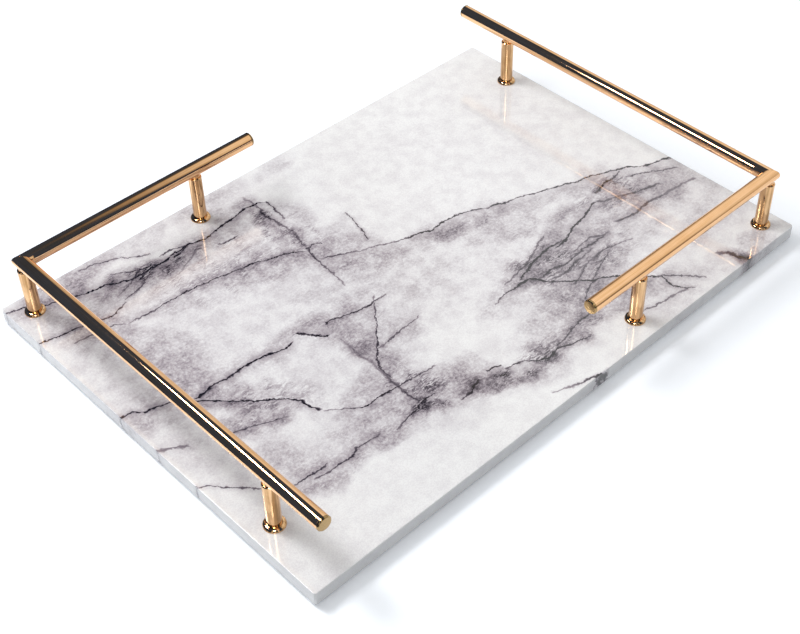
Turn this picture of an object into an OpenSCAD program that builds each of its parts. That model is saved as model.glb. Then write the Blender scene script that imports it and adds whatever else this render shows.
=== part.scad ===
// Vanity tray: a polished marble slab with an L-shaped tube rail on each of two
// opposite corners. Each rail is two mitred tubes held up by three posts, and every
// post is pulled down onto the slab by one long machine screw from below.
// The origin is under the centre of the tray, where the feet meet the table.

/* [Slab] */
// Length of the slab, along X
slab_length = 420; // [380:5:500]
// Width of the slab, along Y
slab_width = 300; // [280:5:360]
// Thickness of the slab
slab_thickness = 10; // [8:0.5:16]
// Radius of the slab's vertical corners
slab_corner = 1.5; // [1:0.1:5]
// Size of the small bevel along the slab's top and bottom edges
slab_arris = 0.4; // [0.2:0.1:0.8]

/* [Rails] */
// Outer diameter of the rail tube
bar_diameter = 9.5; // [9:0.5:12]
// Wall thickness of the rail tube
bar_wall = 1; // [0.8:0.1:1.5]
// Height of the tube's axis above the slab
bar_height = 40.8; // [35:0.2:60]
// Length of the arm along the slab's end, from the mitre
long_arm = 278.7; // [260:0.1:290]
// Length of the arm along the slab's side, from the mitre
short_arm = 176.5; // [160:0.5:185]
// Distance from the slab's end edge to the tube's axis
end_inset = 14.5; // [13:0.5:20]
// Distance from the slab's side edge to the tube's axis
side_inset = 16.3; // [13:0.1:20]

/* [Posts] */
// Diameter of a post
post_diameter = 9; // [8:0.5:10]
// Distance from the corner post to the post near the long arm's end
long_post_reach = 233.8; // [200:0.2:250]
// Distance from the corner post to the post near the short arm's end
short_post_reach = 129.4; // [100:0.2:150]
// Diameter of the narrow neck between a post and the tube
neck_diameter = 7; // [6.6:0.1:8]
// Height of the groove that the neck leaves under the tube
neck_gap = 0.9; // [0.5:0.1:2]
// Bevel at the top of a post
post_bevel = 0.5; // [0.3:0.1:1]
// Diameter of the round base under a post
rosette_diameter = 13.4; // [13:0.1:18]

/* [End caps] */
// Thickness of the part of a cap that shows
cap_thickness = 1.6; // [1.2:0.1:3]
// Bevel around the face of a cap
cap_bevel = 0.6; // [0.3:0.1:1]

/* [Feet] */
// Diameter of a rubber foot
foot_diameter = 16; // [10:1:20]
// Height of a rubber foot
foot_height = 2; // [1.5:0.5:4]
// Distance from the slab's edges to a foot's centre
foot_inset = 32; // [30:1:50]

/* [Hidden] */

$fn = 64;
skin = 0.1;              // how far a cutting shape runs past the face that it cuts
fit_gap = 0.05;          // radial clearance of a hand fit
mitre_overlap = 0.02;    // how far the two solid rods run into each other

gold = [0.86, 0.67, 0.45];
worn_gold = [0.78, 0.62, 0.36];
marble = [0.9, 0.89, 0.9];
steel = [0.72, 0.72, 0.74];
brass = [0.75, 0.6, 0.3];
rubber = [0.12, 0.12, 0.13];

slab_bottom = foot_height;
slab_top = slab_bottom + slab_thickness;
bar_z = slab_top + bar_height;
bar_radius = bar_diameter / 2;
bore_radius = bar_radius - bar_wall;
post_radius = post_diameter / 2;
neck_radius = neck_diameter / 2;
rosette_round = rosette_diameter / 2 - post_radius;
rosette_floor = 0.8;     // what the post stands on, inside the rosette
post_base = slab_top + rosette_floor;
post_top = bar_z - bar_radius - neck_gap;
cap_plug = 4;            // length of the plug that a cap pushes into the tube

// M4 socket screw, its washer and the insert that it threads into
screw_radius = 2;
screw_length = 50;
screw_hole_radius = 2.25;
head_radius = 3.5;
head_height = 2.6;
hex_size = 2.5;          // across the flats of the socket
hex_depth = 1.5;
washer_radius = 4.5;
washer_thickness = 0.8;
counterbore_radius = 5;
counterbore_depth = 4;
insert_radius = 2.9;
insert_top = 1.5;        // how far an insert rises past the tube's axis
seat_z = slab_bottom + counterbore_depth - washer_thickness;

mitre = [end_inset - slab_length / 2, slab_width / 2 - side_inset];
post_spots = [[0, 0], [0, -long_post_reach], [short_post_reach, 0]];
all_posts = [for (turn = [0, 180], spot = post_spots) [turn, spot]];

// Puts a shape that is drawn around the left mitre on the left or the right rail.
// The right rail is the left one turned half round.
module on_rail(turn) {
    rotate([0, 0, turn])
        translate([mitre[0], mitre[1], 0])
            children();
}

module at_post(turn, spot) {
    on_rail(turn)
        translate([spot[0], spot[1], 0])
            children();
}

module at_all_posts() {
    for (post = all_posts)
        at_post(post[0], post[1]) children();
}

// An arm is drawn along -Y, and the short one is its mirror image in the mitre plane.
module as_arm(is_short) {
    mirror(is_short ? [1, 1, 0] : [0, 0, 0])
        children();
}

// A round rod from past the mitre to the arm's end, along -Y.
module rod(length, radius) {
    translate([0, bar_diameter, bar_z])
        rotate([90, 0, 0])
            cylinder(h = length + bar_diameter, r = radius);
}

// Everything that lies further than a distance past the mitre plane.
module past_mitre(distance) {
    size = 6 * bar_diameter;
    rotate([0, 0, 45])
        translate([distance, -size / 2, bar_z - size / 2])
            cube(size);
}

module mitred_rod(length, overlap = 0) {
    difference() {
        rod(length, bar_radius);
        past_mitre(overlap);
    }
}

// Both arms of a rail as solid rods: the shape that necks and inserts fit against.
// They run into each other a little, so that nothing is left standing between them.
module solid_rail() {
    mitred_rod(long_arm, mitre_overlap);
    as_arm(true) mitred_rod(short_arm, mitre_overlap);
}

module marble_slab() {
    color(marble)
        difference() {
            rounded_slab();
            at_all_posts() screw_hole();
        }
}

// The slab's section across one direction, with its bevelled edges.
module bevelled_section(half_width) {
    inner = half_width - slab_arris;
    polygon([
        [-inner, 0], [inner, 0],
        [half_width, slab_arris], [half_width, slab_thickness - slab_arris],
        [inner, slab_thickness], [-inner, slab_thickness],
        [-half_width, slab_thickness - slab_arris], [-half_width, slab_arris]
    ]);
}

module rounded_slab() {
    half_length = slab_length / 2;
    half_width = slab_width / 2;
    translate([0, 0, slab_bottom]) {
        rotate([90, 0, 90])
            linear_extrude(slab_length - 2 * slab_corner, center = true)
                bevelled_section(half_width);
        rotate([90, 0, 0])
            linear_extrude(slab_width - 2 * slab_corner, center = true)
                bevelled_section(half_length);
        for (x = [-1, 1], y = [-1, 1])
            translate([x * (half_length - slab_corner), y * (half_width - slab_corner), 0])
                rotate_extrude()
                    intersection() {
                        bevelled_section(slab_corner);
                        square([slab_corner, slab_thickness]);
                    }
    }
}

module screw_hole() {
    translate([0, 0, slab_bottom - skin]) {
        cylinder(h = slab_thickness + 2 * skin, r = screw_hole_radius);
        cylinder(h = counterbore_depth + skin, r = counterbore_radius);
    }
}

// One tube of a rail, cut to 45 degrees at the mitre, with a hole in its underside
// for the insert at each of its posts.
module bar(turn, is_short) {
    arm = is_short ? short_arm : long_arm;
    reach = is_short ? short_post_reach : long_post_reach;
    color(gold)
        on_rail(turn)
            as_arm(is_short)
                difference() {
                    mitred_rod(arm - cap_thickness);
                    translate([0, -skin, 0]) rod(arm, bore_radius);
                    for (y = [0, -reach])
                        translate([0, y, bar_z - bar_diameter])
                            cylinder(h = bar_diameter, r = insert_radius + fit_gap);
                }
}

// A turned cap: a bevelled disc as wide as the tube and a plug that fits inside it.
module end_cap(turn, is_short) {
    arm = is_short ? short_arm : long_arm;
    plug_radius = bore_radius - fit_gap;
    color(worn_gold)
        on_rail(turn)
            as_arm(is_short)
                translate([0, -arm, bar_z])
                    rotate([-90, 0, 0])
                        rotate_extrude()
                            polygon([
                                [0, 0], [bar_radius - cap_bevel, 0],
                                [bar_radius, cap_bevel], [bar_radius, cap_thickness],
                                [plug_radius, cap_thickness],
                                [plug_radius, cap_thickness + cap_plug],
                                [0, cap_thickness + cap_plug]
                            ]);
}

module post(turn, spot) {
    bevel_start = post_top - post_bevel;
    color(gold)
        at_post(turn, spot)
            rotate_extrude()
                polygon([
                    [screw_hole_radius, post_base], [post_radius, post_base],
                    [post_radius, bevel_start], [post_radius - post_bevel, post_top],
                    [screw_hole_radius, post_top]
                ]);
}

// The narrow ring between a post and the tube, coped to the tube's underside.
module neck(turn, spot) {
    color(worn_gold)
        on_rail(turn)
            difference() {
                translate([spot[0], spot[1], post_top])
                    cylinder(h = neck_gap + bar_radius - 1, r = neck_radius);
                solid_rail();
                translate([spot[0], spot[1], post_top - skin])
                    cylinder(h = bar_radius, r = screw_hole_radius);
            }
}

// A quarter-round base with a recess that the post stands in.
module rosette(turn, spot) {
    color(gold)
        at_post(turn, spot)
            translate([0, 0, slab_top])
                difference() {
                    rotate_extrude()
                        intersection() {
                            union() {
                                square([post_radius, rosette_round]);
                                translate([post_radius, 0]) circle(r = rosette_round);
                            }
                            square([rosette_diameter, rosette_round]);
                        }
                    translate([0, 0, -skin])
                        cylinder(h = rosette_round, r = screw_hole_radius);
                    translate([0, 0, rosette_floor])
                        cylinder(h = rosette_round, r = post_radius + fit_gap);
                }
}

// A threaded bush brazed into the tube's wall, finished flush with its underside.
module threaded_insert(spot) {
    difference() {
        intersection() {
            translate([spot[0], spot[1], bar_z - bar_radius])
                cylinder(h = bar_radius + insert_top, r = insert_radius);
            solid_rail();
        }
        translate([spot[0], spot[1], bar_z - bar_diameter])
            cylinder(h = 2 * bar_diameter, r = screw_radius);
    }
}

module threaded_inserts() {
    color(brass)
        for (turn = [0, 180], spot = post_spots)
            on_rail(turn) threaded_insert(spot);
}

module post_screws() {
    shank_radius = screw_radius - fit_gap;
    color(steel)
        at_all_posts()
            translate([0, 0, seat_z])
                difference() {
                    union() {
                        cylinder(h = screw_length, r = shank_radius);
                        translate([0, 0, -head_height])
                            cylinder(h = head_height, r = head_radius);
                    }
                    translate([0, 0, -head_height - skin])
                        cylinder(h = hex_depth + skin, r = hex_size / sqrt(3), $fn = 6);
                }
}

module screw_washers() {
    color(steel)
        at_all_posts()
            translate([0, 0, seat_z])
                difference() {
                    cylinder(h = washer_thickness, r = washer_radius);
                    translate([0, 0, -skin])
                        cylinder(h = washer_thickness + 2 * skin, r = screw_hole_radius);
                }
}

// A rubber foot with a softened lower rim.
module foot(x_side, y_side) {
    radius = foot_diameter / 2;
    soft_rim = foot_height / 4;
    color(rubber)
        translate([
            x_side * (slab_length / 2 - foot_inset),
            y_side * (slab_width / 2 - foot_inset),
            0
        ])
            rotate_extrude()
                polygon([
                    [0, 0], [radius - soft_rim, 0], [radius, soft_rim],
                    [radius, foot_height], [0, foot_height]
                ]);
}

marble_slab();
bar(0, false);  // left_long_bar
bar(0, true);  // left_short_bar
bar(180, false);  // right_long_bar
bar(180, true);  // right_short_bar
end_cap(0, false);  // left_long_end_cap
end_cap(0, true);  // left_short_end_cap
end_cap(180, false);  // right_long_end_cap
end_cap(180, true);  // right_short_end_cap
post(0, post_spots[0]);  // left_corner_post
post(0, post_spots[1]);  // left_long_post
post(0, post_spots[2]);  // left_short_post
post(180, post_spots[0]);  // right_corner_post
post(180, post_spots[1]);  // right_long_post
post(180, post_spots[2]);  // right_short_post
neck(0, post_spots[0]);  // left_corner_neck
neck(0, post_spots[1]);  // left_long_neck
neck(0, post_spots[2]);  // left_short_neck
neck(180, post_spots[0]);  // right_corner_neck
neck(180, post_spots[1]);  // right_long_neck
neck(180, post_spots[2]);  // right_short_neck
rosette(0, post_spots[0]);  // left_corner_rosette
rosette(0, post_spots[1]);  // left_long_rosette
rosette(0, post_spots[2]);  // left_short_rosette
rosette(180, post_spots[0]);  // right_corner_rosette
rosette(180, post_spots[1]);  // right_long_rosette
rosette(180, post_spots[2]);  // right_short_rosette
threaded_inserts();
post_screws();
screw_washers();
foot(-1, -1);  // front_left_foot
foot(1, -1);  // front_right_foot
foot(-1, 1);  // rear_left_foot
foot(1, 1);  // rear_right_foot
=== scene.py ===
# The vanity tray's looks: polished marble, gold-plated rails and a soft studio,
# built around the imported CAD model. Lengths are metres, except in the marble's tables and
# in the materials' node graphs, where they are millimetres.
import math

import bmesh
import bpy
from mathutils import Matrix, Vector


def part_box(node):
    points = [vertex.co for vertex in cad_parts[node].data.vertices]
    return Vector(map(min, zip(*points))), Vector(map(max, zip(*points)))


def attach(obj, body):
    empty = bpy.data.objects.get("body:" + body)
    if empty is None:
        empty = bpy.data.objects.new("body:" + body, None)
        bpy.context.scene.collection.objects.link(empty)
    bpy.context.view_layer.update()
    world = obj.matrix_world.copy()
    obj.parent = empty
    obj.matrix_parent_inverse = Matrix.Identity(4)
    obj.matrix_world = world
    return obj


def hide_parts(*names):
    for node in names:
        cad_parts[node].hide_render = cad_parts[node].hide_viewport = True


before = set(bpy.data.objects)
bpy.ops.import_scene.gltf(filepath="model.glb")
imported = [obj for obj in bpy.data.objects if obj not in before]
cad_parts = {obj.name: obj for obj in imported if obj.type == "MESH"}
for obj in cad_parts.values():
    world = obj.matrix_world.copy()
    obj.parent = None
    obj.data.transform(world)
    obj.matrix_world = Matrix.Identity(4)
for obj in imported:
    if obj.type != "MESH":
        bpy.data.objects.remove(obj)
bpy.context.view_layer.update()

MM = 0.001
RAILS = ("left", "right")
POSTS = ("corner", "long", "short")
ARMS = ("long", "short")
FEET = ("front_left", "front_right", "rear_left", "rear_right")
RING_STEPS = 96              # facets around a tube, post or cap
SCREW_BORE = 2.25 * MM       # radius of the hole a screw passes through
WELD = 1e-7                  # points closer than this are one point
FLAT = 0.9999                # a face whose normal lies this close to an axis is shaded flat
UP = Vector((0, 0, 1))


# ---------------------------------------------------------------- places

def node_centre(node):
    low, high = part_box(node)
    return (Vector(low) + Vector(high)) / 2


def node_size(node):
    low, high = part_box(node)
    return Vector(high) - Vector(low)


def upright(node):
    """Moves a shape turned about Z onto a node's own axis, and leaves its heights alone."""
    spot = node_centre(node)
    return Matrix.Translation((spot.x, spot.y, 0))


def farthest(node, start, way):
    """How far a node reaches from a start point along a way."""
    return max((Vector(corner) - start).dot(way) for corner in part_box(node))


SLAB_LOW, SLAB_HIGH = (Vector(corner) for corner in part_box("marble_slab"))
SLAB_TOP = SLAB_HIGH.z


# ---------------------------------------------------------------- mesh helpers

def rounded_outline(points, steps=4):
    """Replaces each corner (a, b, radius) by a small arc that touches both sides."""
    out = []
    count = len(points)
    for i, (a, b, radius) in enumerate(points):
        here = Vector((a, b))
        if radius <= 0:
            out.append(here)
            continue
        before = Vector(points[i - 1][:2]) - here
        after = Vector(points[(i + 1) % count][:2]) - here
        half = before.angle(after) / 2
        reach = radius / math.tan(half)
        halfway = (before.normalized() + after.normalized()).normalized()
        middle = here + halfway * radius / math.sin(half)
        start = here + before.normalized() * reach - middle
        end = here + after.normalized() * reach - middle
        turn = start.angle_signed(end)
        for k in range(steps + 1):
            out.append(middle + Matrix.Rotation(-turn * k / steps, 2) @ start)
    return out


def finish_mesh(name, bm, material, replaced, smooth_angle=35):
    bmesh.ops.remove_doubles(bm, verts=bm.verts, dist=WELD)
    bmesh.ops.recalc_face_normals(bm, faces=bm.faces)
    mesh = bpy.data.meshes.new(name)
    bm.to_mesh(mesh)
    bm.free()
    mesh.shade_smooth()
    mesh.set_sharp_from_angle(angle=math.radians(smooth_angle))
    mesh.materials.append(material)
    piece = bpy.data.objects.new(name, mesh)
    bpy.context.scene.collection.objects.link(piece)
    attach(piece, "root")
    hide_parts(*replaced)
    return piece


def bridge(bm, rings, close=False):
    """Joins rings of equal length with quads."""
    pairs = list(zip(rings, rings[1:]))
    if close:
        pairs.append((rings[-1], rings[0]))
    for lower, upper in pairs:
        count = len(lower)
        for i in range(count):
            j = (i + 1) % count
            corners = [lower[i], lower[j], upper[j], upper[i]]
            distinct = list(dict.fromkeys(corners))
            if len(distinct) > 2:
                bm.faces.new(distinct)


def lathe(outline, place, steps=RING_STEPS):
    """Turns an outline of (radius, height) about the local Z axis and puts it in place."""
    bm = bmesh.new()
    rings = []
    for radius, height in outline:
        if radius < WELD:
            rings.append([bm.verts.new(place @ Vector((0, 0, height)))] * steps)
            continue
        turns = (2 * math.pi * k / steps for k in range(steps))
        rings.append([
            bm.verts.new(place @ Vector((radius * math.cos(a), radius * math.sin(a), height)))
            for a in turns
        ])
    bridge(bm, rings, close=outline[0][0] > WELD)
    return bm


# ---------------------------------------------------------------- node graphs

class Graph:
    """A short way to write a node tree: nearly every call adds a node and returns its output."""

    def __init__(self, tree):
        self.tree = tree
        tree.nodes.clear()

    def add(self, kind, settings=None, **inputs):
        """Any node: its settings, then its inputs by name. It returns the node itself."""
        node = self.tree.nodes.new(kind)
        for key, value in (settings or {}).items():
            setattr(node, key, value)
        for key, value in inputs.items():
            self.feed(node.inputs[key.replace("_", " ")], value)
        return node

    def feed(self, socket, value):
        if isinstance(value, bpy.types.NodeSocket):
            self.tree.links.new(value, socket)
        else:
            socket.default_value = value

    def math(self, operation, *values):
        node = self.tree.nodes.new("ShaderNodeMath")
        node.operation = operation
        for socket, value in zip(node.inputs, values):
            self.feed(socket, value)
        return node.outputs[0]

    def ramp(self, value, low, high, out_low, out_high, smooth=True):
        """Maps low..high to out_low..out_high. A smooth ramp stops at its ends, a straight
        one runs on."""
        node = self.tree.nodes.new("ShaderNodeMapRange")
        node.interpolation_type = "SMOOTHSTEP" if smooth else "LINEAR"
        node.clamp = False
        for socket, part in zip(node.inputs, (value, low, high, out_low, out_high)):
            self.feed(socket, part)
        return node.outputs[0]

    def dim(self, value, mask, share=1.0):
        """Takes a share of the value away where the mask is 1."""
        return self.math("MULTIPLY", value, self.math("MULTIPLY_ADD", mask, -share, 1.0))

    def noise(self, place, scale, detail=2.0, roughness=0.5):
        node = self.add("ShaderNodeTexNoise", Vector=place, Scale=scale, Detail=detail,
                        Roughness=roughness)
        return node.outputs["Fac"]

    def curve(self, value, points):
        """A float curve through points of (0..1, 0..1)."""
        node = self.add("ShaderNodeFloatCurve", Value=value)
        node.mapping.extend = "HORIZONTAL"
        line = node.mapping.curves[0]
        line.points[0].location = points[0]
        line.points[1].location = points[-1]
        for point in points[1:-1]:
            line.points.new(*point)
        for point in line.points:
            point.handle_type = "VECTOR"
        node.mapping.update()
        return node.outputs[0]

    def stretched(self, place, scale, angle=0.0, shift=(0, 0, 0)):
        """A place scaled, turned about Z by an angle in degrees, and shifted."""
        node = self.add("ShaderNodeMapping", Vector=place, Scale=scale, Location=shift)
        node.inputs["Rotation"].default_value = (0, 0, math.radians(angle))
        return node.outputs[0]

    def colours(self, value, stops):
        """A colour ramp through stops of (place, linear colour)."""
        node = self.add("ShaderNodeValToRGB", Fac=value)
        elements = node.color_ramp.elements
        while len(elements) < len(stops):
            elements.new(0.5)
        for element, (place, colour) in zip(elements, stops):
            element.position = place
            element.color = colour
        return node.outputs["Color"]

    def surface(self, bsdf):
        output = self.tree.nodes.new("ShaderNodeOutputMaterial")
        self.tree.links.new(bsdf.outputs[0], output.inputs["Surface"])


def srgb(red, green, blue):
    """A linear colour from its 0..255 screen values."""
    def linear(value):
        share = value / 255
        return share / 12.92 if share <= 0.04045 else ((share + 0.055) / 1.055) ** 2.4
    return (linear(red), linear(green), linear(blue), 1.0)


def new_material(name):
    material = bpy.data.materials.new(name)
    material.use_nodes = True
    return material, Graph(material.node_tree)


def millimetres(graph):
    """The object's own place in millimetres, which is the tray's frame."""
    place = graph.add("ShaderNodeTexCoord").outputs["Object"]
    scaled = graph.add("ShaderNodeVectorMath", {"operation": "SCALE"}, Vector=place, Scale=1 / MM)
    return scaled.outputs[0]


# ---------------------------------------------------------------- marble

# Veins drawn on the slab, seen from above, in millimetres from its centre.
# Each is (run, width, halo, side, points). run says whether the vein is followed along
# x or along y. halo is the width of the grey stain beside it, and side puts the stain
# below (-1), above (1) or on both sides (0). A point is (x, y, darkness).
VEINS = [
    # the long vein that crosses the left rail's short side
    ("x", 1.6, 9, 0, [(-214, 145, .5), (-201, 142, .6), (-187, 133, .7), (-170, 127, .95),
                      (-160, 123.5, .9), (-150, 122, .9), (-145, 119.5, .9), (-137, 115.3, .8),
                      (-127, 115, .45), (-118, 114.5, .7), (-110, 114.5, .8), (-103, 116.5, .8)]),
    ("x", 1.6, 8, -1, [(-105, 117, .8), (-95, 116.5, .8), (-90, 117.5, .85), (-85, 116, .9),
                       (-76, 114.6, .9), (-65, 116, .95), (-55, 117, 1), (-40, 119.3, 1),
                       (-29, 118.5, .9), (-24, 114, .5)]),
    ("x", 1.2, 0, 0, [(-142, 129, .3), (-132, 122, .5), (-121, 118, .5), (-113, 114.5, .5)]),
    ("x", 1.2, 0, 0, [(-110, 121, .5), (-98, 120, .6), (-90, 117.5, .5)]),
    ("x", 1.2, 0, 0, [(-104, 113.5, .7), (-98, 114, .7), (-90, 117, .6)]),
    ("x", 1.3, 4, 0, [(-156, 145.5, .3), (-144, 144, .5), (-130, 138.5, .4), (-122, 132.5, .5),
                      (-112, 126.5, .5)]),
    ("x", 1.3, 5, 0, [(-214, 107.5, .7), (-205, 106, .8), (-191, 103, .85), (-183, 101, .7),
                      (-170, 98, .6), (-164, 95.5, .75), (-158, 98, .6), (-149, 101, .35)]),
    ("x", 1.5, 4, 0, [(-149, 103, .3), (-140, 105, .5), (-130, 106.8, .4)]),
    ("x", 1.4, 0, 0, [(-195, 92, .3), (-184, 90.5, .4), (-168, 88.5, .5), (-162, 84.5, .4)]),
    # the middle vein, down to the dark smudge
    ("x", 1.2, 6, 0, [(-162, 84, .3), (-148, 82, .5), (-134, 82.3, .5), (-119, 82, .65),
                      (-108, 80, .65), (-92, 77, .7), (-80, 75, .7), (-70, 72.5, .75),
                      (-60, 68.7, .75), (-50, 65, .8), (-43, 61, .85), (-38, 58, .7)]),
    ("x", 1.3, 0, 0, [(-38, 60, .5), (-32, 60, .5), (-28, 58.5, .5), (-25, 56, .5)]),
    ("x", 1.1, 0, 0, [(-75, 103.5, .4), (-68, 102, .6), (-60, 101, .5)]),
    # the long diagonal between the white and the grey halves
    ("x", 1.4, 10, -1, [(-37, 46, .4), (-30, 42.5, .5), (-20, 38, .45), (-12, 33, .25),
                        (-3, 29.5, .3), (10, 24.5, .5), (20, 20.5, .7), (28, 19, .75),
                        (35, 15.5, .8), (48, 16, .85), (60, 14, .75), (70, 10, .6), (77, 6, .8)]),
    ("x", 1.5, 12, -1, [(75, 7, .6), (84, 4, .8), (97, -.5, .6), (113, -6.5, .6), (121, -10, .8),
                        (131, -12.5, .8), (141, -17.5, .8), (151, -20, .85), (161, -24.5, .8),
                        (173, -28, .85), (181, -33.5, .8), (188, -38.5, .8), (203, -43.5, .8),
                        (214, -48, .8)]),
    # the dark wedge on the right
    ("x", 1.2, 8, -1, [(13, -64, .3), (26, -61, .6), (36, -62, .8), (46, -63, .9)]),
    ("y", 1.6, 9, -1, [(46, -62.5, .95), (50, -68, 1), (54, -73.5, .6), (60, -80.5, .6),
                       (68, -86, .8), (74, -92, .9), (82, -96, .9), (88, -100, .9),
                       (95, -108, .8), (102, -115, .8), (107.5, -121, .9)]),
    ("y", 1.4, 5, 0, [(108, -120, .9), (107, -126, .9), (107.5, -132, .9), (110, -137, .8),
                      (116, -142.5, .6)]),
    ("x", 1.6, 8, 0, [(40, -59.8, .95), (50, -57, .9), (57, -54, .95), (66, -52.5, .95),
                      (78, -51, .9), (90, -52, .4)]),
    ("x", 1.6, 8, 0, [(79, -54.8, .7), (92, -53, .85), (101, -50.5, .95), (106, -48, .9),
                      (118, -45.3, .9), (131, -42, .8), (136, -42, .4)]),
    ("x", 1.6, 0, 0, [(30, -56, .3), (44, -54, .4), (60, -49.5, .4), (70, -46, .4), (84, -40, .4)]),
    ("x", 1.4, 6, 0, [(141, -35, .5), (149, -33.5, .8), (156, -32.3, .85), (163, -33, .6),
                      (172, -30, .5)]),
    ("x", 1.4, 5, 0, [(170, -38, .5), (176, -41, .6), (186, -45.5, .5), (195, -52, .5),
                      (205, -56.5, .4)]),
    ("x", 2.2, 8, 0, [(135, -42, .4), (148, -47.5, .3), (163, -54, .5), (172, -57, .5),
                      (182, -58.5, .5)]),
    ("x", 2.4, 8, 0, [(127, -64, .4), (134, -66, .55), (147, -68, .5), (160, -66.5, .5),
                      (180, -69.5, .3), (205, -72, .35)]),
    ("x", 2.0, 6, 0, [(52, -67, .5), (66, -67, .5), (74, -70, .5), (92, -67.5, .5),
                      (106, -68, .55), (119, -68, .3)]),
    ("x", 1.8, 0, 0, [(86, -65, .3), (98, -63.5, .4), (106, -64, .4), (114, -68, .4)]),
    ("x", 1.8, 4, 0, [(88, -79, .3), (98, -77, .45), (106, -78.5, .4), (123, -83.5, .3)]),
    ("x", 1.5, 4, 0, [(56, -101, .4), (66, -96, .5), (80, -90, .4), (88, -86, .4), (103, -81, .4)]),
    # lower right corner
    ("x", 1.6, 5, 0, [(72, -132.5, .4), (85, -135, .5), (98, -136.5, .4), (112, -139.5, .3)]),
    ("x", 1.6, 6, 0, [(106, -118, .5), (115, -126, .5), (122, -132.5, .5), (129, -141, .4)]),
    ("y", 3.2, 8, 0, [(152, -130, .3), (157, -138, .6), (160, -145, .6), (165, -154, .6)]),
    # the wisps across the bottom
    ("x", 1.8, 6, 0, [(-60, -106, .4), (-52, -106.5, .7), (-46, -104, .7), (-40, -102, .5)]),
    ("x", 1.5, 6, -1, [(-32, -100.5, .5), (-28, -101.2, .8), (-22, -103, .6)]),
    ("x", 1.6, 9, -1, [(-23, -107.5, .5), (-16, -109, .7), (-9, -111.5, .5), (-3, -116, .6),
                       (3, -119, .7), (14, -118.5, .7), (24, -122, .65), (38, -124.5, .4)]),
    ("x", 1.5, 6, 0, [(12, -117, .4), (24, -114, .5), (36, -111.3, .55), (52, -110, .6),
                      (66, -108, .5)]),
    ("x", 1.6, 3, 0, [(-17, -140, .3), (-5, -144.5, .35), (5, -147.5, .6), (14, -149, .8),
                      (24, -152, .8)]),
    # lower left
    ("x", 1.4, 5, 0, [(-182, -86, .4), (-170, -87.5, .55), (-158, -88.5, .6), (-147, -87.5, .4)]),
    ("x", 1.4, 5, 0, [(-160, -92, .4), (-148, -93.3, .5), (-134, -93.5, .6), (-127, -91.5, .5),
                      (-110, -93, .3)]),
    ("x", 1.4, 5, 0, [(-102, -97, .3), (-91, -95, .6), (-80, -93, .7), (-72, -91, .6),
                      (-66, -91, .4)]),
    ("x", 1.2, 7, -1, [(-124, -56, .3), (-116, -60.5, .4), (-109, -67, .5), (-104, -71, .75),
                       (-92, -71.5, .7), (-80, -72.3, .65), (-66, -74.3, .5), (-50, -75, .4)]),
    # the two diagonals from the left rail
    ("y", 1.5, 7, -1, [(-177, 10, .6), (-168, -1, .8), (-160, -9, .8), (-151, -17.5, .85),
                       (-143, -25, .85), (-135, -30, .8), (-129, -37.5, .85), (-126, -41, .9),
                       (-126, -47, .9), (-123, -55, .7)]),
    ("x", 1.1, 6, 0, [(-178, -31, .3), (-165, -34.5, .45), (-151, -41, .5), (-139, -46, .35)]),
    ("x", 1.2, 4, 0, [(-214, -46, .4), (-204, -55.5, .55), (-194, -66.5, .55), (-184, -77, .4)]),
    ("x", 2.4, 6, 0, [(-214, -12, .3), (-205, -16, .35), (-194, -23, .3)]),
    # the level vein left of the middle
    ("x", 1.6, 6, 0, [(-214, 23, .6), (-202, 20.5, .8), (-198, 15.3, .8), (-190, 15, .75),
                      (-182, 11, .7), (-175, 5.5, .7), (-168, 3.5, .85), (-160, 3.5, .9),
                      (-154, 4.5, .7), (-142, 3, .7), (-130, 4, .8), (-121, 2.5, .8),
                      (-110, -.5, .85), (-104, -1, .9), (-97, .3, .7)]),
    ("y", 1.5, 7, 1, [(-97, 4.5, .7), (-92, 3.8, .8), (-88.5, -1, .7), (-84, -6.5, .85),
                      (-79, -11.5, .9), (-73, -12, .4)]),
    ("x", 1.5, 6, -1, [(-75, -2.5, .7), (-70, -1.7, .75), (-60, -5, .55), (-52, -8, .65),
                       (-42, -9, .65), (-28, -9, .3)]),
    ("y", 1.3, 6, -1, [(-35, -3, .3), (-40, -10, .4), (-48, -20, .5), (-57, -31, .6),
                       (-64, -38.5, .65), (-72, -47.5, .6), (-76, -56, .5), (-76.5, -66, .4)]),
    ("x", 1.4, 5, 0, [(-66, -41, .3), (-52, -40, .45), (-38, -39.3, .4), (-26, -38, .3)]),
    # the left streaks: a turn at the long vein's end, two upright streaks, slanting ones
    ("y", 1.6, 4, 0, [(-24, 116, .6), (-25.5, 108, .6), (-26, 100, .45), (-27, 93, .3)]),
    ("y", 2.2, 6, 0, [(-33, 132, .2), (-32, 118, .35), (-34, 105, .5), (-33, 92, .4),
                      (-31, 80, .3), (-34, 70, .35), (-36, 60, .3)]),
    ("y", 2.4, 5, 0, [(-76, -16, .15), (-77, -30, .2), (-76, -50, .25), (-78, -66, .4),
                      (-79, -82, .45), (-76, -100, .3)]),
    ("x", 1.4, 4, 0, [(-152, 108, .2), (-138, 113, .35), (-126, 119, .25)]),
    ("x", 1.4, 4, 0, [(-142, 103, .2), (-128, 109, .3), (-115, 116, .25)]),
    ("x", 1.4, 4, 0, [(-112, 98, .15), (-98, 104, .25), (-84, 112, .2)]),
    # the right wedge's network
    ("x", 1.7, 4, 0, [(57, -73, .3), (70, -75, .4), (84, -73, .4), (98, -71, .3)]),
    ("x", 1.6, 4, 0, [(62, -87, .35), (76, -81, .4), (92, -77, .25)]),
    # short single cracks
    ("y", .9, 3, 0, [(6.5, 71, .6), (5.2, 62, .7), (3.5, 53, .75), (1.5, 46, .7), (-1, 38, .5)]),
    ("y", 1.6, 6, 0, [(-36, 61, .5), (-38, 50, .5), (-39, 40, .45), (-40, 28, .35),
                      (-42, 14, .25)]),
]

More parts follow.
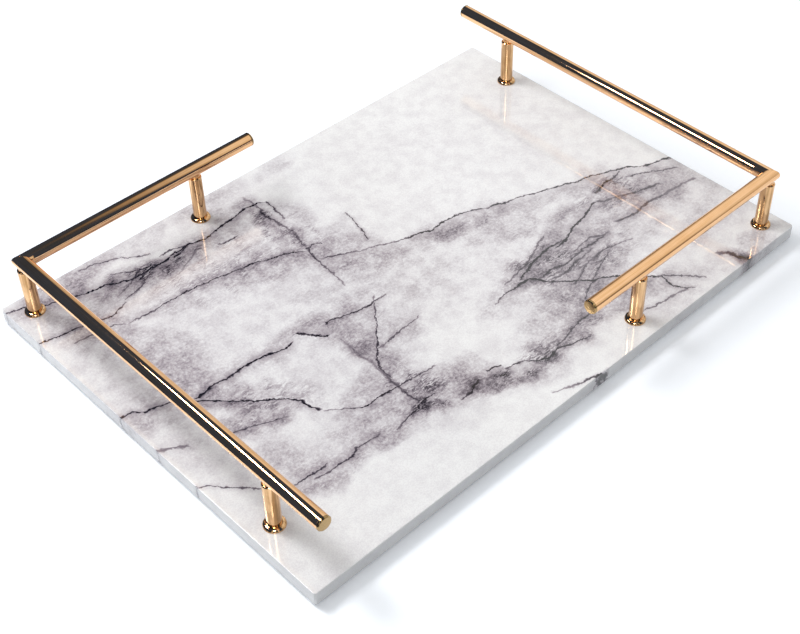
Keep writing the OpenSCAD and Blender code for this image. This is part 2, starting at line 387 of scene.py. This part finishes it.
# Grey clouds in the stone: centre x, y, half length, half width, turn in degrees, tone.
# The tone is how much darker the cloud's middle is, in hundredths of black.
CLOUDS = [
    # broad, faint grounds
    (-115, 25, 135, 150, 0, 6), (-20, 0, 70, 60, 0, 5), (40, -42, 92, 78, 0, 5),
    (120, -62, 110, 62, 0, 3), (0, -108, 150, 30, 0, 4), (120, -128, 100, 34, 0, 3),
    (95, 60, 190, 130, 0, 2.5), (-190, 45, 34, 130, 0, 4),
    # upper left
    (-115, 112, 62, 17, -3, 14), (-92, 94, 82, 44, 0, 5), (-45, 112, 36, 24, 0, 6),
    (-33, 84, 12, 36, 4, 10), (-22, 92, 14, 28, 0, 9), (-178, 118, 48, 44, 0, 10),
    (-110, 144, 90, 17, 0, 7), (-175, 139, 52, 16, 0, 12), (-48, 138, 40, 20, 0, 8),
    (-42, 124, 20, 14, 0, 9), (0, 142, 26, 10, 0, 7), (-176, 84, 26, 40, 0, 8),
    (-60, 62, 48, 20, -14, 12), (-34, 46, 20, 38, 10, 9), (-12, 52, 26, 26, 0, 6),
    (-8, 40, 38, 20, -30, 6), (-160, 45, 26, 30, 0, 10),
    # middle
    (-198, 14, 22, 20, 0, 8), (-162, 22, 26, 22, 0, 14), (-106, 3, 76, 13, 0, 7),
    (-60, 0, 36, 15, 0, 3), (-5, 18, 48, 19, -20, 7), (-155, -10, 34, 16, -45, 15),
    (-148, -38, 36, 15, -15, 15),
    (-60, -12, 28, 20, 0, 7), (-70, -40, 15, 42, 0, 14), (-58, -38, 36, 16, 0, 9),
    (-85, -58, 52, 14, 0, 9), (54, 4, 52, 19, -14, 13), (48, 0, 36, 12, -12, 8),
    (108, -12, 46, 13, -20, 9), (80, -20, 48, 12, -15, 8),
    # lower left
    (-92, -82, 72, 27, -6, 14), (-155, -91, 38, 15, 0, 12), (-116, -98, 32, 12, 0, 14),
    (-52, -95, 36, 20, -16, 13), (-36, -112, 28, 12, -25, 10), (-20, -114, 50, 14, -12, 17),
    (28, -113, 38, 14, 8, 15), (0, -127, 45, 14, 0, 8), (-190, -52, 20, 60, 0, 2),
    (-163, -70, 24, 26, 0, 12), (-160, -102, 26, 12, 0, 10), (60, -100, 22, 14, 0, 10),
    # the right wedge
    (152, -28, 38, 17, -25, 8), (146, -44, 62, 18, -8, 11), (68, -58, 46, 19, 4, 14),
    (42, -62, 24, 12, 0, 16), (108, -62, 30, 14, 0, 14), (94, -42, 36, 11, 6, 13),
    (168, -59, 58, 19, -4, 13), (76, -84, 50, 25, 0, 15), (122, -78, 56, 25, 0, 8),
    (192, -78, 42, 34, 0, 8), (34, -92, 32, 20, 0, 9), (68, -112, 46, 18, 0, 14),
    (96, -122, 40, 14, 0, 12), (110, -141, 52, 14, 0, 6), (158, -142, 14, 20, 22, 20),
    (182, -143, 42, 12, 0, 11), (178, -108, 52, 20, 0, 8), (18, -68, 26, 12, 0, 6),
]

# Where the stone is finely crazed: the same columns, with the strength of the fine lines.
CRAZED = [
    (-112, 112, 40, 12, -3, 50), (-32, 88, 14, 40, 3, 44), (-72, -82, 22, 26, 0, 45),
    (72, -70, 36, 26, 0, 34), (-90, 84, 66, 34, 0, 18), (150, -42, 48, 20, -14, 32),
    (0, -112, 60, 14, -6, 40), (104, -84, 34, 18, 0, 26), (-140, -28, 40, 24, -30, 22),
    (66, -48, 34, 12, 8, 30),
]

# Noise that shakes the outlines: each wave is (size in mm, greatest shift in mm).
CLOUD_WAVES = ((34, 16), (9, 4))
VEIN_WAVES = ((11, 1.8), (3.0, 1.3), (1.1, 0.6))

# The two directions of the fine hairlines: (scale of the noise, turn in degrees, thickness).
HAIRLINES = (((0.030, 0.17, 1), 8, 0.035), ((0.055, 0.30, 1), -16, 0.05))

STAIN_SHARE = 0.15           # how much of a vein's darkness its stain has
SHARP_SIDE = 0.15            # share of a one-sided stain's width that lies on the vein's other side
FADE = 0.03                  # share of a vein's length over which it fades in or out


def vein_tone(graph, x, y, thinning, vein):
    """How dark one vein's line is at a place, and how dark its stain is."""
    run, width, halo, side, points = vein
    along, across = (x, y) if run == "x" else (y, x)
    order = sorted((p[:2] if run == "x" else (p[1], p[0])) + (p[2],) for p in points)
    start, end = order[0][0], order[-1][0]
    low = min(p[1] for p in order)
    span = max(max(p[1] for p in order) - low, 1)
    share = [(p[0] - start) / (end - start) for p in order]
    lean = math.hypot(1, (order[-1][1] - order[0][1]) / (end - start))

    t = graph.ramp(along, start, end, 0, 1, smooth=False)
    route = graph.curve(t, [(s, (p[1] - low) / span) for s, p in zip(share, order)])
    middle = graph.math("MULTIPLY_ADD", route, span, low)
    offset = graph.math("SUBTRACT", across, middle)
    share[0], share[-1] = FADE, 1 - FADE
    strength = graph.curve(t, [(0, 0)] + [(s, p[2]) for s, p in zip(share, order)] + [(1, 0)])
    distance = graph.math("ABSOLUTE", offset)
    thinned = graph.math("MULTIPLY", distance, thinning)
    core = graph.ramp(thinned, 0.15 * width * lean, 0.85 * width * lean, 1, 0)
    line = graph.math("MULTIPLY", core, strength)
    if not halo:
        return line, None
    if side:
        outer = -halo * SHARP_SIDE
        stain = graph.ramp(graph.math("MULTIPLY", offset, side), outer, halo * lean, 1, 0)
        edge = graph.ramp(graph.math("MULTIPLY", offset, side), outer, 0, 0, 1)
        stain = graph.math("MULTIPLY", stain, edge)
    else:
        stain = graph.ramp(distance, 0, halo * lean, 1, 0)
    return line, graph.math("MULTIPLY", stain, strength)


def cloud_tone(graph, x, y, clouds):
    """The sum of soft ellipses, each in hundredths of black."""
    total = 0.0
    for centre_x, centre_y, length, width, turn, tone in clouds:
        cosine, sine = math.cos(math.radians(turn)), math.sin(math.radians(turn))
        reach = 0.0
        for half, lean_x, lean_y in ((length, cosine, sine), (width, -sine, cosine)):
            start = -(centre_x * lean_x + centre_y * lean_y) / half
            part = graph.math("MULTIPLY_ADD", y, lean_y / half, start)
            part = graph.math("MULTIPLY_ADD", x, lean_x / half, part)
            reach = graph.math("MULTIPLY_ADD", part, part, reach)
        reach = graph.math("SQRT", reach)
        total = graph.math("ADD", graph.ramp(reach, 1, 0.3, 0, tone / 100), total)
    return total


def flat_place(graph, x, y):
    """A place on the slab's plane, so that a pattern runs straight down its edges."""
    return graph.add("ShaderNodeCombineXYZ", X=x, Y=y).outputs[0]


def shaken(graph, value, place, waves):
    """Adds noise to a coordinate, wave by wave."""
    for size, shift in waves:
        wave = graph.noise(place, 1 / size, detail=1.0)
        value = graph.math("ADD", value, graph.math("MULTIPLY_ADD", wave, 2 * shift, -shift))
    return value


def marble_material():
    """Polished marble: drawn veins and clouds, fine crazing, mottling and a clear gloss."""
    material, graph = new_material("polished_marble")
    place = millimetres(graph)
    axes = graph.add("ShaderNodeSeparateXYZ", Vector=place)
    x, y = axes.outputs["X"], axes.outputs["Y"]
    elsewhere = graph.stretched(place, (1, 1, 1), shift=(431, -217, 90))

    cloud_x = shaken(graph, x, place, CLOUD_WAVES)
    cloud_y = shaken(graph, y, elsewhere, CLOUD_WAVES)
    vein_x = shaken(graph, x, place, VEIN_WAVES)
    vein_y = shaken(graph, y, elsewhere, VEIN_WAVES)

    grey = cloud_tone(graph, cloud_x, cloud_y, CLOUDS)
    crazed = cloud_tone(graph, cloud_x, cloud_y, CRAZED)

    thinning = graph.ramp(graph.noise(place, 0.25, 3.0, 0.6), 0.3, 0.7, 0.7, 2.3)
    lines = 0.0
    stains = 0.0
    for vein in VEINS:
        line, stain = vein_tone(graph, vein_x, vein_y, thinning, vein)
        lines = graph.math("MAXIMUM", lines, line)
        if stain is not None:
            stains = graph.math("MAXIMUM", stains, stain)

    # fine crazing: straight hairlines, the ridges of two noises drawn out along the grain,
    # and cracks between cells that are drawn out like the second noise
    streaks = 0.0
    grains = []
    for size, angle, thickness in HAIRLINES:
        grains.append(graph.stretched(flat_place(graph, vein_x, vein_y), size, angle=angle))
        ridge = graph.noise(grains[-1], 1.6, 3.0, 0.55)
        offset = graph.math("ABSOLUTE", graph.math("SUBTRACT", ridge, 0.5))
        streaks = graph.math("MAXIMUM", streaks, graph.ramp(offset, 0, thickness, 1, 0))
    cells = graph.add("ShaderNodeTexVoronoi", {"feature": "DISTANCE_TO_EDGE"}, Vector=grains[-1],
                      Scale=0.9, Randomness=1.0)
    cracks = graph.ramp(cells.outputs["Distance"], 0, 0.08, 0.7, 0)
    fine = graph.math("MAXIMUM", cracks, streaks)
    patchy = graph.ramp(graph.noise(place, 0.09, 2.0), 0.38, 0.66, 0.1, 1.0)
    spread = graph.math("MULTIPLY_ADD", grey, 0.55, crazed)
    fine = graph.math("MULTIPLY", graph.math("MULTIPLY", fine, patchy), spread)

    # mottling of the grey, a faint veil over the white, and the crystals' grain
    mottle = graph.noise(place, 0.10, 6.0, 0.56)
    veil = graph.ramp(mottle, 0.35, 0.7, 0.015, 0.06)
    grain = graph.ramp(graph.noise(place, 0.5, 4.0, 0.7), 0.3, 0.7, 0.55, 1.5)
    speckle = graph.ramp(graph.noise(place, 1.3, 2.0, 0.6), 0.25, 0.75, -0.035, 0.035)
    grey = graph.math("MULTIPLY", grey, graph.ramp(mottle, 0.32, 0.68, 0.7, 1.3))
    grey = graph.math("MULTIPLY", grey, grain)
    grey = graph.math("ADD", grey, speckle)
    stained = graph.math("MULTIPLY_ADD", stains, STAIN_SHARE, graph.math("ADD", grey, veil))
    soft = graph.math("ADD", stained, fine)
    darkest = 1.12
    tone = graph.math("MULTIPLY_ADD", lines, graph.math("SUBTRACT", darkest, soft), soft)

    colour = graph.colours(tone, [
        (0.0, srgb(238, 238, 238)), (0.12, srgb(214, 211, 214)), (0.26, srgb(181, 174, 179)),
        (0.45, srgb(136, 127, 135)), (0.7, srgb(74, 67, 76)), (0.95, srgb(20, 17, 24)),
    ])
    # painted shade by face direction: the sides are painted darker, the upper arris is a pale
    # painted highlight, the lower arris a dark painted shadow line and the underside a little
    # darker; facing is 0 on a face that looks down, 0.5 on an upright one and 1 on one that looks
    # up
    normal = graph.add("ShaderNodeTexCoord").outputs["Normal"]
    upward = graph.add("ShaderNodeSeparateXYZ", Vector=normal).outputs["Z"]
    facing = graph.ramp(upward, -1, 1, 0, 1, smooth=False)
    edge = graph.curve(facing, [(0, 0.8), (0.12, 0.35), (0.36, 0.32), (0.47, 0.69), (0.6, 0.69),
                                (0.72, 1.12), (0.96, 1.12), (1, 1.0)])
    # the painted edge shade, highlight and shadow line scale the stone's colour here
    painted_edge_shade = graph.add("ShaderNodeVectorMath", {"operation": "SCALE"}, Vector=colour, Scale=edge)
    colour = painted_edge_shade.outputs[0]
    roughness = graph.ramp(graph.noise(place, 0.7, 3.0), 0.3, 0.7, 0.16, 0.24)
    bump = graph.add("ShaderNodeBump", Strength=0.04, Distance=0.0002, Height=mottle)
    bsdf = graph.add("ShaderNodeBsdfPrincipled", Base_Color=colour, Roughness=roughness,
                     Normal=bump.outputs[0])
    bsdf.inputs["IOR"].default_value = 1.5
    bsdf.inputs["Coat Weight"].default_value = 1.0
    bsdf.inputs["Coat Roughness"].default_value = 0.015
    bsdf.inputs["Coat IOR"].default_value = 1.5
    graph.surface(bsdf)
    return material


# ---------------------------------------------------------------- metals and rubber

def plated_material(name, colour, roughness, worn_colour, draw=(1, 1, 1), scratches=0.02):
    """Bright plating: a drift of colour and the faint streaks of drawing or turning.
    A small number in draw stretches the streaks along that axis."""
    material, graph = new_material(name)
    place = millimetres(graph)
    streak = graph.noise(graph.stretched(place, draw), 1.0, 4.0, 0.65)
    cloud = graph.noise(place, 0.08, 3.0, 0.55)
    worn = graph.math("MULTIPLY_ADD", cloud, 0.4, streak)
    tint = graph.add("ShaderNodeMix", {"data_type": "RGBA"},
                     Factor=graph.ramp(worn, 0.5, 0.95, 0.0, 1.0))
    graph.feed(tint.inputs["A"], srgb(*colour))
    graph.feed(tint.inputs["B"], srgb(*worn_colour))
    roughest = 1.9 * roughness
    rough = graph.ramp(streak, 0.3, 0.75, roughness, roughest)
    bump = graph.add("ShaderNodeBump", Strength=scratches, Distance=0.0001, Height=streak)
    bsdf = graph.add("ShaderNodeBsdfPrincipled", Base_Color=tint.outputs["Result"],
                     Roughness=rough, Normal=bump.outputs[0])
    bsdf.inputs["Metallic"].default_value = 1.0
    graph.surface(bsdf)
    return material


def rubber_material():
    material, graph = new_material("foot_rubber")
    place = millimetres(graph)
    grain = graph.noise(place, 2.5, 4.0, 0.6)
    colour = graph.colours(grain, [(0.3, srgb(34, 34, 37)), (0.8, srgb(52, 52, 55))])
    rough = graph.ramp(grain, 0.3, 0.7, 0.55, 0.8)
    bump = graph.add("ShaderNodeBump", Strength=0.25, Distance=0.0001, Height=grain)
    bsdf = graph.add("ShaderNodeBsdfPrincipled", Base_Color=colour, Roughness=rough,
                     Normal=bump.outputs[0])
    graph.surface(bsdf)
    return material


GOLD = (255, 207, 160)
DEEP_GOLD = (238, 184, 128)
OLIVE_GOLD = (182, 152, 106)
marble = marble_material()
tube_gold = {
    "long": plated_material("tube_gold_long", GOLD, 0.045, DEEP_GOLD, (1.6, 0.02, 1.6)),
    "short": plated_material("tube_gold_short", GOLD, 0.045, DEEP_GOLD, (0.02, 1.6, 1.6)),
}
post_gold = plated_material("post_gold", (243, 200, 152), 0.05, (176, 134, 88), (0.7, 0.7, 0.02))
cap_gold = plated_material("cap_gold", OLIVE_GOLD, 0.09, (162, 134, 92), (1.2, 1.2, 1.2))
neck_gold = plated_material("neck_gold", DEEP_GOLD, 0.12, (190, 142, 90), (1, 1, 1))
zinc = plated_material("zinc_steel", (196, 198, 202), 0.22, (170, 172, 178), scratches=0.08)
brass = plated_material("insert_brass", (214, 178, 104), 0.2, (190, 150, 80), scratches=0.08)
rubber = rubber_material()


# ---------------------------------------------------------------- pieces

def make_slab():
    """The slab with softly rounded arrises, drilled and counterbored from below."""
    corner = 1.5 * MM
    arris = 0.4 * MM
    arc_steps = 8
    edge_steps = 4
    half_x = (SLAB_HIGH.x - SLAB_LOW.x) / 2
    half_y = (SLAB_HIGH.y - SLAB_LOW.y) / 2
    levels = []
    for k in range(edge_steps + 1):
        angle = math.pi / 2 * k / edge_steps
        levels.append((arris * (1 - math.sin(angle)), SLAB_LOW.z + arris * (1 - math.cos(angle))))
    levels += [(inset, SLAB_LOW.z + SLAB_HIGH.z - z) for inset, z in reversed(levels)]

    bm = bmesh.new()
    rings = []
    for inset, z in levels:
        ring = []
        for quarter, (sx, sy) in enumerate(((1, 1), (-1, 1), (-1, -1), (1, -1))):
            for k in range(arc_steps + 1):
                angle = math.pi / 2 * (quarter + k / arc_steps)
                ring.append(bm.verts.new((
                    sx * (half_x - corner) + (corner - inset) * math.cos(angle),
                    sy * (half_y - corner) + (corner - inset) * math.sin(angle),
                    z,
                )))
        rings.append(ring)
    bridge(bm, rings)
    bm.faces.new(list(reversed(rings[0])))
    bm.faces.new(rings[-1])
    piece = finish_mesh("slab", bm, marble, ["marble_slab"], smooth_angle=30)
    drill(piece)
    return piece


def drill(slab):
    """Cuts the screw holes and their counterbores."""
    bore_radius = 5.0 * MM
    bore_depth = 4.0 * MM
    over = 1.0 * MM
    bottom = SLAB_LOW.z - over
    seat = SLAB_LOW.z + bore_depth
    outline = [(0, bottom), (bore_radius, bottom), (bore_radius, seat),
               (SCREW_BORE, seat), (SCREW_BORE, SLAB_TOP + over), (0, SLAB_TOP + over)]
    bm = bmesh.new()
    for rail in RAILS:
        for post in POSTS:
            cutter = lathe(outline, upright(f"{rail}_{post}_post"), steps=48)
            part = bpy.data.meshes.new("cutter")
            cutter.to_mesh(part)
            cutter.free()
            bm.from_mesh(part)
            bpy.data.meshes.remove(part)
    bmesh.ops.recalc_face_normals(bm, faces=bm.faces)
    mesh = bpy.data.meshes.new("cutters")
    bm.to_mesh(mesh)
    bm.free()
    cutters = bpy.data.objects.new("cutters", mesh)
    bpy.context.scene.collection.objects.link(cutters)
    modifier = slab.modifiers.new("holes", "BOOLEAN")
    modifier.operation = "DIFFERENCE"
    modifier.solver = "EXACT"
    modifier.object = cutters
    bpy.context.view_layer.update()
    shape = slab.evaluated_get(bpy.context.evaluated_depsgraph_get())
    drilled = bpy.data.meshes.new_from_object(shape)
    slab.modifiers.clear()
    slab.data = drilled
    drilled.shade_smooth()
    drilled.set_sharp_from_angle(angle=math.radians(30))
    for face in drilled.polygons:
        face.use_smooth = max(abs(part) for part in face.normal) < FLAT
    bpy.data.objects.remove(cutters)


def arm_axes(rail, arm):
    """The mitre point of a rail, the way its arm runs, and the way the other arm runs."""
    corner = node_centre(f"{rail}_corner_post")
    ways = {}
    for name in ARMS:
        reach = node_centre(f"{rail}_{name}_post") - corner
        ways[name] = Vector((reach.x, reach.y, 0)).normalized()
    other = "short" if arm == "long" else "long"
    start = Vector((corner.x, corner.y, node_centre(f"{rail}_{arm}_bar").z))
    return start, ways[arm], ways[other]


def make_bar(rail, arm):
    """A mitred tube: rings along the arm, the first ones lying in the mitre plane."""
    node = f"{rail}_{arm}_bar"
    start, way, inward = arm_axes(rail, arm)
    radius = node_size(node).z / 2
    wall = 1.0 * MM
    ease = 0.1 * MM
    far_end = farthest(node, start, way)
    outline = [(radius - wall, 0), (radius - ease, 0), (radius, ease)]
    spacing = 12 * MM
    steps = int(far_end / spacing)
    outline += [(radius, ease + (far_end - 2 * ease) * k / steps) for k in range(1, steps)]
    outline += [(radius, far_end - ease), (radius - ease, far_end), (radius - wall, far_end)]
    first_straight = 3       # the rings before this one follow the mitre
    bm = bmesh.new()
    rings = []
    for index, (size, distance) in enumerate(outline):
        ring = []
        for k in range(RING_STEPS):
            angle = 2 * math.pi * k / RING_STEPS
            side = size * math.cos(angle)
            slant = side if index < first_straight else 0.0
            ring.append(bm.verts.new(
                start + way * (distance + slant) + inward * side + UP * size * math.sin(angle)))
        rings.append(ring)
    bridge(bm, rings, close=True)
    return finish_mesh(node + "_tube", bm, tube_gold[arm], [node])


def make_end_cap(rail, arm):
    """A cap with a bevelled face, and the plug behind it that sits in the tube."""
    node = f"{rail}_{arm}_end_cap"
    start, way, inward = arm_axes(rail, arm)
    radius = node_size(node).z / 2
    plug = radius - 1.05 * MM
    bevel = 0.6 * MM
    thickness = 1.6 * MM
    length = abs(node_size(node).dot(way))
    outline = rounded_outline([
        (0, 0, 0), (radius - bevel, 0, 0.12 * MM), (radius, bevel, 0.15 * MM),
        (radius, thickness, 0.05 * MM), (plug, thickness, 0), (plug, length, 0.3 * MM),
        (0, length, 0),
    ])
    cap_axes = Matrix((inward, UP, -way)).transposed().to_4x4()
    place = Matrix.Translation(start + way * farthest(node, start, way)) @ cap_axes
    return finish_mesh(node + "_turned", lathe(outline, place), cap_gold, [node], 25)


def make_post(rail, post):
    """A bored post with a bevelled top."""
    node = f"{rail}_{post}_post"
    low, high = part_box(node)
    radius = node_size(node).x / 2
    bevel = 0.5 * MM
    outline = rounded_outline([
        (SCREW_BORE, low[2], 0), (radius, low[2], 0.1 * MM), (radius, high[2] - bevel, 0.15 * MM),
        (radius - bevel, high[2], 0.1 * MM), (SCREW_BORE, high[2], 0),
    ])
    bm = lathe(outline, upright(node))
    return finish_mesh(node + "_turned", bm, post_gold, [node], 25)


def make_rosette(rail, post):
    """A quarter-round base with a recess for the post's foot."""
    node = f"{rail}_{post}_rosette"
    low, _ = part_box(node)
    radius = node_size(node).x / 2
    height = node_size(node).z
    post_radius = node_size(f"{rail}_{post}_post").x / 2
    recess = post_radius + 0.03 * MM
    recess_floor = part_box(f"{rail}_{post}_post")[0][2]
    rim = 0.15 * MM
    foot_inset = 0.2 * MM
    arc_steps = 12
    outline = [(SCREW_BORE, low[2]), (radius - foot_inset, low[2])]
    for k in range(arc_steps + 1):
        angle = math.pi / 2 * k / arc_steps
        outline.append((
            max(recess, radius - height + height * math.cos(angle)),
            low[2] + rim + (height - rim) * math.sin(angle),
        ))
    outline += [(recess, recess_floor), (SCREW_BORE, recess_floor)]
    bm = lathe(outline, upright(node))
    return finish_mesh(node + "_turned", bm, post_gold, [node], 40)


def make_foot(name):
    """A round rubber pad with a dished sole."""
    node = name + "_foot"
    low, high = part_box(node)
    radius = node_size(node).x / 2
    height = node_size(node).z
    dish = 0.25 * height
    outline = rounded_outline([
        (0, low[2] + dish, 0), (0.55 * radius, low[2] + dish, 0.8 * MM),
        (0.66 * radius, low[2], 0.3 * MM), (radius, low[2], 0.9 * MM),
        (radius, high[2], 0.1 * MM), (0, high[2], 0),
    ], steps=5)
    bm = lathe(outline, upright(node), steps=64)
    return finish_mesh(node + "_pad", bm, rubber, [node], 40)


def dress(node, material):
    """Gives a CAD node that is already the right shape its own material."""
    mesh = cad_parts[node].data
    mesh.materials.clear()
    mesh.materials.append(material)


make_slab()
for rail in RAILS:
    for arm in ARMS:
        make_bar(rail, arm)
        make_end_cap(rail, arm)
    for post in POSTS:
        make_post(rail, post)
        make_rosette(rail, post)
        dress(f"{rail}_{post}_neck", neck_gold)
for foot in FEET:
    make_foot(foot)
dress("post_screws", zinc)
dress("screw_washers", zinc)
dress("threaded_inserts", brass)


# ---------------------------------------------------------------- studio

def stage_plane(name, left, right, front, back, height, material):
    """A level rectangle that belongs to the studio and not to the tray."""
    mesh = bpy.data.meshes.new(name)
    corners = [(left, front, height), (right, front, height),
               (right, back, height), (left, back, height)]
    mesh.from_pydata(corners, [], [(0, 1, 2, 3)])
    mesh.materials.append(material)
    plane = bpy.data.objects.new(name, mesh)
    bpy.context.scene.collection.objects.link(plane)
    return plane


def only_mirrored(thing):
    """Shows a studio card in reflections only."""
    thing.visible_camera = False
    thing.visible_diffuse = False
    thing.visible_shadow = False
    thing.visible_transmission = False


def make_floor():
    """A wide pale floor, and the small white table top that the metal mirrors instead."""
    material, graph = new_material("pale_floor")
    bsdf = graph.add("ShaderNodeBsdfPrincipled", Base_Color=(0.88, 0.92, 0.97, 1), Roughness=0.8)
    bsdf.inputs["Specular IOR Level"].default_value = 0.1
    bsdf.inputs["Emission Color"].default_value = (1, 1, 1, 1)
    bsdf.inputs["Emission Strength"].default_value = 0.12
    graph.surface(bsdf)
    half = 6.0
    floor = stage_plane("floor", -half, half, -half, half, 0, material)
    floor.visible_glossy = False
    lift = 0.1 * MM
    only_mirrored(stage_plane("table_top", -0.275, 1.0, -1.0, 0.24, lift, material))


def softbox(name, place, width, height, radiance, mirrored=True, lighting=True):
    """A rectangular lamp aimed at the tray, seen in the polish, lighting the tray, or both."""
    light = bpy.data.lights.new(name, "AREA")
    light.shape = "RECTANGLE"
    light.size = width
    light.size_y = height
    light.energy = radiance * math.pi * width * height
    lamp = bpy.data.objects.new(name, light)
    lamp.location = place
    lamp.rotation_euler = (-Vector(place)).to_track_quat("-Z", "Y").to_euler()
    lamp.visible_camera = False
    lamp.visible_glossy = mirrored
    lamp.visible_diffuse = lighting
    bpy.context.scene.collection.objects.link(lamp)


def both(graph, first, second):
    """A mask that is 1 where two masks are."""
    return graph.math("MULTIPLY", first, second)


def window(graph, value, low, high, soft):
    """A mask that is 1 between low and high, with soft edges."""
    return both(graph, graph.ramp(value, low - soft, low + soft, 0, 1),
                graph.ramp(value, high - soft, high + soft, 1, 0))


def mirrored_room(graph, x, y, z):
    """How bright the room is that the polish shows: a pale wall towards +X, shaped by its
    edges, and darkness on the other sides and overhead."""
    azimuth = graph.math("DEGREES", graph.math("ARCTAN2", y, x))
    elevation = graph.math("DEGREES", graph.math("ARCSINE", z))

    # the wall itself: its edge towards -Y leans, and its +Y end is nearly dark
    lean = 6.67
    near_edge = graph.ramp(graph.math("MULTIPLY_ADD", x, lean, z), 3.0, 3.45, 0, 1)
    beyond = graph.math("MAXIMUM", near_edge, graph.ramp(y, -0.4, -0.1, 0, 1))
    wall = graph.math("MULTIPLY", graph.ramp(x, 0.29, 0.49, 0, 1), beyond)
    far_edge = both(graph, graph.ramp(y, 0.08, 0.45, 0, 0.92), graph.ramp(x, 0.46, 0.56, 1, 0))
    wall = graph.dim(wall, far_edge)
    # a dark upright band, and a wall that is dimmer near the floor
    seam = both(graph, window(graph, azimuth, -66, -48, 3), window(graph, elevation, -10, 13, 5))
    wall = graph.dim(wall, seam, 0.62)
    wall = graph.math("MULTIPLY", wall, graph.ramp(elevation, 8, 46, 0.74, 1))
    # the low left corner is dark in two steps, the low right one in one
    for start, end, share in ((42, 50, 0.5), (52, 57, 1.0)):
        left_edge = both(graph, graph.ramp(azimuth, start, end, 0, 1),
                         graph.ramp(elevation, 22, 38, 1, 0))
        wall = graph.dim(wall, left_edge, share)
    low_dark = both(graph, graph.ramp(azimuth, -61, -56, 1, 0), graph.ramp(elevation, 6, 14, 1, 0))
    wall = graph.dim(wall, low_dark, 0.9)
    # upright stripes on the side behind the camera
    wave_per_degree = 0.24
    stripes = graph.math("SINE", graph.math("MULTIPLY", azimuth, wave_per_degree))
    behind = both(graph, graph.ramp(y, -0.1, -0.35, 0, 1), graph.ramp(x, 0.2, -0.05, 0, 1))
    return graph.math("ADD", wall, both(graph, behind, graph.ramp(stripes, -0.2, 0.5, 0, 0.75)))


def make_world():
    """A pale dome for the light it gives, and the room that the polished tubes show."""
    world = bpy.data.worlds.new("studio")
    bpy.context.scene.world = world
    world.use_nodes = True
    graph = Graph(world.node_tree)
    way = graph.add("ShaderNodeTexCoord").outputs["Generated"]
    axes = graph.add("ShaderNodeSeparateXYZ", Vector=way)
    x, y, z = (axes.outputs[k] for k in "XYZ")
    mirrored = graph.colours(mirrored_room(graph, x, y, z), [
        (0.0, (0.036, 0.058, 0.118, 1)), (0.08, (0.06, 0.07, 0.09, 1)),
        (0.35, (0.30, 0.265, 0.21, 1)), (0.7, (0.66, 0.65, 0.60, 1)), (1.0, (0.95, 0.96, 0.95, 1)),
    ])

    # the light itself: a soft dome, stronger overhead
    low_level, top_level = 0.10, 0.92
    rising = graph.ramp(z, 0, 1, low_level, top_level, smooth=False)
    dome_level = graph.math("MAXIMUM", low_level, rising)
    dome = graph.add("ShaderNodeCombineColor", Red=dome_level, Green=dome_level, Blue=dome_level)
    rays = graph.add("ShaderNodeLightPath")
    seen = graph.add("ShaderNodeMix", {"data_type": "RGBA"}, Factor=rays.outputs["Is Glossy Ray"])
    graph.feed(seen.inputs["A"], dome.outputs[0])
    graph.feed(seen.inputs["B"], mirrored)
    final = graph.add("ShaderNodeMix", {"data_type": "RGBA"}, Factor=rays.outputs["Is Camera Ray"])
    graph.feed(final.inputs["A"], seen.outputs["Result"])
    white_backdrop = (1.05, 1.05, 1.05, 1)
    graph.feed(final.inputs["B"], white_backdrop)
    background = graph.add("ShaderNodeBackground", Color=final.outputs["Result"])
    output = graph.tree.nodes.new("ShaderNodeOutputWorld")
    graph.tree.links.new(background.outputs[0], output.inputs["Surface"])


def make_camera():
    """The view: over the front left corner, from 43 degrees up."""
    camera = bpy.data.cameras.new("camera")
    camera.lens = 64.7
    camera.sensor_width = 36.0
    camera.shift_x = -0.0471
    camera.shift_y = -0.0306
    camera.clip_start = 0.01
    viewer = bpy.data.objects.new("camera", camera)
    place = Vector((-0.4689, -0.5081, 0.6199 + SLAB_TOP))
    azimuth, elevation, roll = -44.21, 42.95, -0.23
    turn = (Matrix.Rotation(math.radians(azimuth), 4, "Z")
            @ Matrix.Rotation(math.radians(90 - elevation), 4, "X")
            @ Matrix.Rotation(math.radians(roll), 4, "Z"))
    viewer.matrix_world = Matrix.Translation(place) @ turn
    bpy.context.scene.collection.objects.link(viewer)
    bpy.context.scene.camera = viewer


make_floor()
make_world()
softbox("key", (-0.39, 0.36, 0.82), 0.32, 0.22, 10.0, mirrored=False)
softbox("glint", (-0.43, 0.38, 0.76), 0.38, 0.13, 26.0, lighting=False)
softbox("front", (-0.80, -0.72, 0.98), 0.32, 0.42, 13.0, lighting=False)
softbox("fill", (-0.45, 1.10, 1.60), 0.55, 0.55, 17.0, mirrored=False)
make_camera()
bpy.context.scene.view_settings.view_transform = "Standard"
